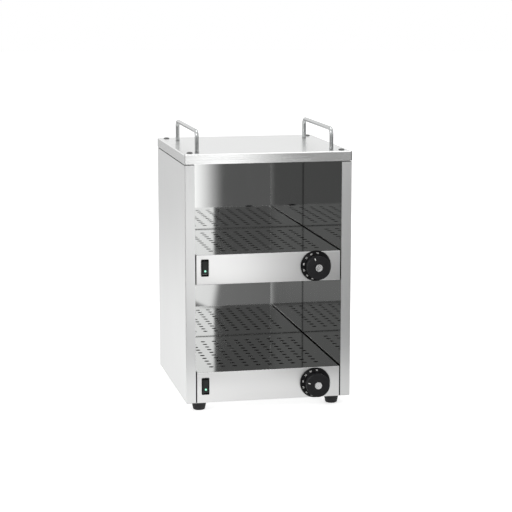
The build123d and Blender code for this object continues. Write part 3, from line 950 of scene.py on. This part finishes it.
def knob_body(level, place, material):
    """Hollow grip that widens to its face, with a raised bead and a seat for the cap."""
    base, roof, seat = RING_HEIGHT + KNOB_GAP, KNOB_REACH - KNOB_ROOF, KNOB_REACH - CAP_SEAT
    outline = [
        (0.0, roof),
        (KNOB_BASE - KNOB_WALL, roof),
        (KNOB_BASE - KNOB_WALL, base),
        (KNOB_BASE, base, 0.2),
        (KNOB_FACE, KNOB_REACH - KNOB_CHAMFER, 0.3),
        (KNOB_FACE - KNOB_CHAMFER, KNOB_REACH, 0.8),
        (BEAD_RADIUS + 1.25, KNOB_REACH, 0.3),
        (BEAD_RADIUS + 0.65, KNOB_REACH + BEAD_RISE, 0.35),
        (BEAD_RADIUS - 0.65, KNOB_REACH + BEAD_RISE, 0.35),
        (BEAD_RADIUS - 1.25, KNOB_REACH, 0.3),
        (CAP_RADIUS + 0.05, KNOB_REACH, 0.1),
        (CAP_RADIUS + 0.05, seat),
        (0.0, seat),
    ]
    piece = turned_piece(level + "_grip", outline, 128, place, material)
    return finish_piece(piece, level + "_dial_knob", "black_plastic", level + "_knob")


def knob_cap(level, place, material):
    """Disc with a low rim, let into the grip."""
    seat, rim, dish = KNOB_REACH - CAP_SEAT, KNOB_REACH + CAP_RISE, KNOB_REACH + CAP_DISH
    outline = [(0.0, seat), (CAP_RADIUS, seat), (CAP_RADIUS, rim, 0.4)]
    outline += [(CAP_RADIUS - 1.4, rim, 0.2), (CAP_RADIUS - 1.7, dish, 0.2), (0.0, dish)]
    piece = turned_piece(level + "_cap_disc", outline, 64, place, material)
    return finish_piece(piece, level + "_dial_knob", "cap_silver", level + "_knob_cap")


def knob_mark(level, place):
    """Raised white wedge at the rim of the grip, turned as the CAD pointer is."""
    shoulder = MARK_OUTER - 1.0
    sides = ((-MARK_HALF, MARK_INNER), (MARK_HALF, MARK_INNER), (MARK_HALF, shoulder))
    wedge = (*sides, (0.0, MARK_OUTER), (-MARK_HALF, shoulder))
    foot, top = ([(x, y, KNOB_REACH + lift) for x, y in wedge] for lift in (-MARK_SUNK, MARK_RISE))
    piece = mesh_object(level + "_mark", prism(foot, top), scale_white())
    away = middle(*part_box(level + "_knob_pointer")) - place
    piece.data.transform(facing_front(place) @ Matrix.Rotation(math.atan2(-away.x, away.z), 4, "Z"))
    return finish_piece(piece, level + "_dial_knob", "white_mark", level + "_knob_pointer")


class CABINET_OT_dials(bpy.types.Operator):
    """Scale rings, grips, caps and pointers"""

    bl_idname = "warming_cabinet.dials"
    bl_label = "Dials"

    def execute(self, context):
        silver = plated_metal("cap_silver", (0.72, 0.72, 0.72), 0.28)
        grip = moulded_plastic("grip_plastic", tint(finishes().plastic_colour, 2.5), 0.42, 0.15, 0.14)
        for level in LEVELS:
            place = joint_place(level + "_dial_turn")
            dial_ring(level, place)
            dial_scale(level, place)
            knob_body(level, place, grip)
            knob_cap(level, place, silver)
            knob_mark(level, place)
            dress((level + "_dial_shaft", level + "_thermostat_nut"), hardware_metal())
        return {"FINISHED"}


# Switches, in millimetres
# Half width, half height, corner radius and height of each loop, from the fascia in to the well
BEZEL_LOOPS = (
    (7.25, 16.5, 1.2, 0.0),
    (7.25, 16.5, 1.2, 1.3),
    (6.6, 15.85, 1.0, 2.0),
    (5.7, 13.4, 0.5, 2.0),
    (5.4, 13.1, 0.4, 1.6),
    (5.4, 13.1, 0.4, -9.0),
)
HOUSING_LOOPS = ((6.5, 14.2, 0.4, 0.0), (6.5, 14.2, 0.4, -20.0))
ROCKER_HALF_WIDTH = 5.2
ROCKER_HALF_LENGTH = 12.0
ROCKER_MIDDLE = 3.5
ROCKER_RISE = 2.0
ROCKER_HOLLOW = 0.5
ROCKER_FOOT = ((11.0, 0.0), (3.5, -4.0), (-3.5, -4.0), (-11.0, 0.0))
ROCKER_TIP = 9.0
ROCKER_EDGE = 0.35


def frame_loop(bm, half_x, half_y, radius, height):
    """Closed loop of a rounded rectangle."""
    loop = []
    steps = 5
    for index, (sx, sy) in enumerate(((1, 1), (-1, 1), (-1, -1), (1, -1))):
        for step in range(steps + 1):
            turn = math.pi / 2 * (index + step / steps)
            x = sx * (half_x - radius) + radius * math.cos(turn)
            y = sy * (half_y - radius) + radius * math.sin(turn)
            loop.append(bm.verts.new((x * MM, y * MM, height * MM)))
    return loop


def switch_bezel(level, place):
    """Rounded frame round the rocker, with the housing behind the sheet."""
    bm = bmesh.new()
    loops = [frame_loop(bm, *loop) for loop in BEZEL_LOOPS]
    for low, high in zip(loops, loops[1:]):
        join_loops(bm, low, high)
    bm.faces.new(loops[-1])
    back, end = (frame_loop(bm, *loop) for loop in HOUSING_LOOPS)
    join_loops(bm, loops[0], back)
    join_loops(bm, back, end)
    bm.faces.new(end)
    bmesh.ops.recalc_face_normals(bm, faces=bm.faces)
    piece = mesh_object(level + "_switch_frame", bm, black_moulding())
    piece.data.transform(facing_front(place))
    return finish_piece(shade(piece), CABINET, "black_plastic", level + "_switch_housing")


def rocker_piece(level, place, material):
    """Rocker with two shallow hollowed halves, tipped so that its top edge is in."""
    outline = []
    for step in range(-12, 13):
        share = step / 12
        edge = abs(share)
        rise = ROCKER_RISE * edge - ROCKER_HOLLOW * math.sin(math.pi * edge)
        outline.append((share * ROCKER_HALF_LENGTH, ROCKER_MIDDLE + rise))
    outline += ROCKER_FOOT
    left, right = ([(x, y, z) for y, z in outline] for x in (-ROCKER_HALF_WIDTH, ROCKER_HALF_WIDTH))
    piece = mesh_object(level + "_rocker_cap", prism(left, right), material)
    piece.data.transform(facing_front(place) @ Matrix.Rotation(-math.radians(ROCKER_TIP), 4, "X"))
    shade(piece, 30.0)
    edges = piece.modifiers.new("Edge", "BEVEL")
    edges.width = ROCKER_EDGE * MM
    edges.segments = 3
    edges.limit_method = "ANGLE"
    edges.angle_limit = math.radians(35)
    edges.harden_normals = False
    return finish_piece(piece, level + "_switch_rocker", "rocker_plastic", level + "_rocker")


class CABINET_OT_switches(bpy.types.Operator):
    """Bezels, rockers and lit windows"""

    bl_idname = "warming_cabinet.switches"
    bl_label = "Switches"

    def execute(self, context):
        colours = finishes()
        grey = moulded_plastic("rocker_grey", (0.03, 0.032, 0.032), 0.35, 0.1, 0.12)
        brass = plated_metal("tab_brass", (0.62, 0.45, 0.18))
        for level in LEVELS:
            pivot = joint_place(level + "_switch_tip")
            seat = Vector((pivot.x, front_face(), pivot.z))
            switch_bezel(level, seat)
            rocker_piece(level, pivot, grey)
            lens = level + "_switch_lens"
            low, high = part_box(lens)
            lamp = lit_window(level + "_lamp", colours.lamp_colour, 0.9, middle(low, high), (high.x - low.x) * 0.6)
            dress((lens,), lamp)
            dress((level + "_switch_tabs",), brass)
        return {"FINISHED"}


# Inside the heated boxes
class CABINET_OT_heaters(bpy.types.Operator):
    """Heating tubes, their straps and the thermostat bodies"""

    bl_idname = "warming_cabinet.heaters"
    bl_label = "Heaters"

    def execute(self, context):
        sheath = heat_darkened("heater_sheath", (0.3, 0.28, 0.26))
        strap = plated_metal("strap_metal", (0.5, 0.5, 0.5), 0.4)
        body = moulded_plastic("thermostat_body", (0.62, 0.58, 0.48), 0.6, 0.3)
        for level in LEVELS:
            dress((level + "_heater",), sheath)
            dress((level + "_heater_strips",), strap)
            dress((level + "_thermostat",), body)
        return {"FINISHED"}


# Studio
# Each range is two places, or two parts of a direction, and the tones at them
ROOM_ACROSS = (-0.9, 0.9, 1.12, 0.8)
ROOM_AHEAD = (-0.3, -0.8, 1.0, 1.2)
ROOM_LEFT = (-0.9, -0.45, 0.86, 1.0)
ROOM_DARK = ((-0.55, -0.4), (-0.02, -0.12), (-0.3, -0.6))
ROOM_DARK_TONE = 0.2
FLOOR_RADIUS = 14.0
FLOOR_SLANT = 0.22
FLOOR_GLOW = 0.62
FLOOR_ACROSS = (-0.34, 0.3, 1.2, 0.75)
FLOOR_AHEAD = (-0.2, -0.6, 0.85, 1.2)
FLOOR_BEHIND = (0.6, 3.0, 1.0, 0.72)
FLOOR_DARK = ((-0.06, -0.02), (0.2, 0.16), (-0.42, -0.5))
FLOOR_DARK_TONE = 0.22
CARD_LEFT, CARD_RIGHT, CARD_Y = -0.45, 0.62, -1.2
RIGHT_BAND = (0.37, 0.42, 0.55, 0.62, 0.18)
LOW_BANDS = ((-0.1, -0.02, 0.2, 0.26, 1.0),)
MID_BANDS = ((-0.1, -0.02, 0.13, 0.24, 1.0), RIGHT_BAND)
HIGH_BANDS = ((-0.02, 0.02, 0.2, 0.207, 1.0), (-0.4, -0.3, -0.12, -0.04, 0.09), RIGHT_BAND)
# Name, foot, head, bands and the tones of the card's dark and its bright
CARDS = (
    ("front_low_card", 0.02, 0.13, LOW_BANDS, 0.2, 1.8),
    ("front_mid_card", 0.13, 0.3, MID_BANDS, 0.15, 1.8),
    ("front_high_card", 0.3, 0.62, HIGH_BANDS, 0.15, 1.7),
)
WHITE = (1.0, 1.0, 1.0, 1.0)
SENSOR_WIDTH = 36.0
TOP_LAMP_SHARE = 0.7


def eased(tree, value, low, high, out_low=0.0, out_high=1.0):
    links = {"Value": value, "From Min": low, "From Max": high, "To Min": out_low, "To Max": out_high}
    return add_node(tree, "ShaderNodeMapRange", links, interpolation_type="SMOOTHSTEP").outputs["Result"]


def product(tree, *factors):
    """All factors multiplied, from the last to the first."""
    result = factors[-1]
    for factor in factors[-2::-1]:
        result = calculated(tree, "MULTIPLY", factor, result)
    return result


def placed_axes(tree, space):
    place = add_node(tree, "ShaderNodeTexCoord").outputs[space]
    return add_node(tree, "ShaderNodeSeparateXYZ", {0: place}).outputs


def mixed_shaders(tree, factor, first, second):
    return output(tree, "ShaderNodeMixShader", {0: factor, 1: first, 2: second})


def build_world(fill):
    """White room; metal sees it fade to the right, with a dark place beside the camera."""
    world = bpy.data.worlds.new("studio_room")
    world.use_nodes = True
    tree = world.node_tree
    tree.nodes.clear()
    axes = placed_axes(tree, "Generated")
    across, back = axes["X"], axes["Y"]
    tone = product(
        tree, eased(tree, across, *ROOM_ACROSS), eased(tree, back, *ROOM_AHEAD), eased(tree, across, *ROOM_LEFT)
    )
    dark = product(tree, *(eased(tree, part, *ends) for part, ends in zip((across, across, back), ROOM_DARK)))
    tone = product(tree, tone, eased(tree, dark, 0.0, 1.0, 1.0, ROOM_DARK_TONE))
    path = add_node(tree, "ShaderNodeLightPath").outputs
    white = calculated(tree, "MAXIMUM", path["Is Camera Ray"], tone)
    straight = path["Is Camera Ray"]
    for name in ("Is Glossy Ray", "Is Transmission Ray"):
        straight = calculated(tree, "MAXIMUM", straight, path[name])
    seen = output(tree, "ShaderNodeBackground", {"Color": white, "Strength": 1.0})
    room = output(tree, "ShaderNodeBackground", {"Color": WHITE, "Strength": fill})
    add_node(tree, "ShaderNodeOutputWorld", {"Surface": mixed_shaders(tree, straight, room, seen)})
    bpy.context.scene.world = world


def new_material(name):
    """New material with its node tree, and its output's input."""
    material = bpy.data.materials.new(name)
    material.use_nodes = True
    tree = material.node_tree
    return material, tree, tree.nodes["Material Output"].inputs["Surface"]


def build_floor():
    """Large pale floor that keeps the soft shadow and is clear from below; metal sees it fade to the right."""
    bm = bmesh.new()
    bmesh.ops.create_circle(bm, cap_ends=True, radius=FLOOR_RADIUS, segments=64)
    material, tree, surface = new_material("floor_paper")
    paper = tree.nodes["Principled BSDF"]
    path = add_node(tree, "ShaderNodeLightPath").outputs
    looks = {"Base Color": (0.9, 0.9, 0.9, 1.0), "Roughness": 0.9, "Specular IOR Level": 0.1, "Emission Color": WHITE}
    for socket, value in looks.items():
        paper.inputs[socket].default_value = value
    tree.links.new(product(tree, path["Is Camera Ray"], FLOOR_GLOW), paper.inputs["Emission Strength"])
    axes = placed_axes(tree, "Object")
    back = axes["Y"]
    slanted = product(tree, back, FLOOR_SLANT)
    rightward, leftward = (calculated(tree, kind, axes["X"], slanted) for kind in ("ADD", "SUBTRACT"))
    tone = product(
        tree,
        eased(tree, rightward, *FLOOR_ACROSS),
        eased(tree, back, *FLOOR_AHEAD),
        eased(tree, back, *FLOOR_BEHIND),
    )
    right_ends, left_ends, front_ends = FLOOR_DARK
    beside = calculated(tree, "MAXIMUM", eased(tree, rightward, *right_ends), eased(tree, leftward, *left_ends))
    dark = product(tree, eased(tree, back, *front_ends), beside)
    tone = product(tree, tone, eased(tree, dark, 0.0, 1.0, 1.0, FLOOR_DARK_TONE))
    card = output(tree, "ShaderNodeEmission", {"Color": WHITE, "Strength": tone})
    seen = mixed_shaders(tree, path["Is Glossy Ray"], paper.outputs[0], card)
    clear = output(tree, "ShaderNodeBsdfTransparent")
    under = add_node(tree, "ShaderNodeNewGeometry").outputs["Backfacing"]
    tree.links.new(mixed_shaders(tree, under, seen, clear), surface)
    mesh_object("floor", bm, material)


def add_card(name, foot, head, bands, dark, bright):
    """Upright card that only metal sees: dark, with bright bands given by four edges in X and a share."""
    bm = bmesh.new()
    corners = ((CARD_LEFT, foot), (CARD_RIGHT, foot), (CARD_RIGHT, head), (CARD_LEFT, head))
    bm.faces.new([bm.verts.new((x, CARD_Y, z)) for x, z in corners])
    material, tree, surface = new_material(name)
    across = placed_axes(tree, "Object")["X"]
    level = 0.0
    for start, full, fade, end, share in bands:
        band = product(tree, eased(tree, across, start, full), eased(tree, across, fade, end, share, 0.0))
        level = calculated(tree, "ADD", level, band)
    tone = calculated(tree, "MULTIPLY_ADD", level, bright - dark, dark)
    glow = output(tree, "ShaderNodeEmission", {"Color": WHITE, "Strength": tone})
    tree.links.new(glow, surface)
    card = mesh_object(name, bm, material)
    for kind in ("camera", "diffuse", "transmission", "volume_scatter", "shadow"):
        setattr(card, "visible_" + kind, False)


def add_lamp(name, place, aim, size, power):
    lamp = bpy.data.lights.new(name, "AREA")
    lamp.shape = "DISK"
    lamp.size = size
    lamp.energy = power
    holder = linked(name, lamp)
    holder.location = place
    holder.rotation_euler = (Vector(aim) - Vector(place)).to_track_quat("-Z", "Y").to_euler()


def build_camera(setting):
    flat = math.cos(setting.elevation)
    across, ahead = math.sin(setting.azimuth) * flat, math.cos(setting.azimuth) * flat
    back = Vector((across, -ahead, math.sin(setting.elevation)))
    data = bpy.data.cameras.new("camera")
    data.lens = setting.lens
    data.sensor_width = SENSOR_WIDTH
    data.clip_end = 60.0
    camera = linked("camera", data)
    camera.location = Vector(setting.target) + back * setting.distance
    camera.rotation_euler = (-back).to_track_quat("-Z", "Y").to_euler()
    bpy.context.scene.camera = camera


class CABINET_OT_stage(bpy.types.Operator):
    """Floor, room, lamps and camera"""

    bl_idname = "warming_cabinet.stage"
    bl_label = "Studio"

    def execute(self, context):
        setting = studio()
        build_world(setting.fill)
        build_floor()
        for card in CARDS:
            add_card(*card)
        add_lamp("key", (-1.6, -2.2, 2.4), (0, 0, 0.25), 1.8, setting.key_power)
        add_lamp("top", (0.3, 0.2, 3.0), (0, 0, 0.3), 2.2, setting.key_power * TOP_LAMP_SHARE)
        build_camera(setting)
        context.scene.view_settings.view_transform = "Standard"
        return {"FINISHED"}


OPERATORS = (
    CABINET_OT_stage,
    CABINET_OT_casing,
    CABINET_OT_shelves,
    CABINET_OT_rails,
    CABINET_OT_fixings,
    CABINET_OT_feet,
    CABINET_OT_dials,
    CABINET_OT_switches,
    CABINET_OT_heaters,
)


class CABINET_PT_panel(bpy.types.Panel):
    """Lists the settings and the pieces"""

    bl_idname = "CABINET_PT_panel"
    bl_label = "Warming cabinet"
    bl_space_type = "VIEW_3D"
    bl_region_type = "UI"
    bl_category = "Cabinet"

    def draw(self, context):
        for name in GROUPS:
            settings = getattr(context.scene, name)
            box = self.layout.box()
            for setting in settings.__annotations__:
                box.prop(settings, setting)
        for operator in OPERATORS:
            self.layout.operator(operator.bl_idname)


GROUPS = {"cabinet_finishes": CabinetFinishes, "cabinet_sizes": CabinetSizes, "cabinet_studio": StudioSettings}
CLASSES = (*GROUPS.values(), *OPERATORS, CABINET_PT_panel)


def register():
    for item in CLASSES:
        bpy.utils.register_class(item)
    for name, group in GROUPS.items():
        setattr(bpy.types.Scene, name, bpy.props.PointerProperty(type=group))


def unregister():
    for name in GROUPS:
        delattr(bpy.types.Scene, name)
    for item in reversed(CLASSES):
        bpy.utils.unregister_class(item)


def main():
    register()
    for operator in OPERATORS:
        group, name = operator.bl_idname.split(".")
        getattr(getattr(bpy.ops, group), name)()


if __name__ == "__main__":
    main()
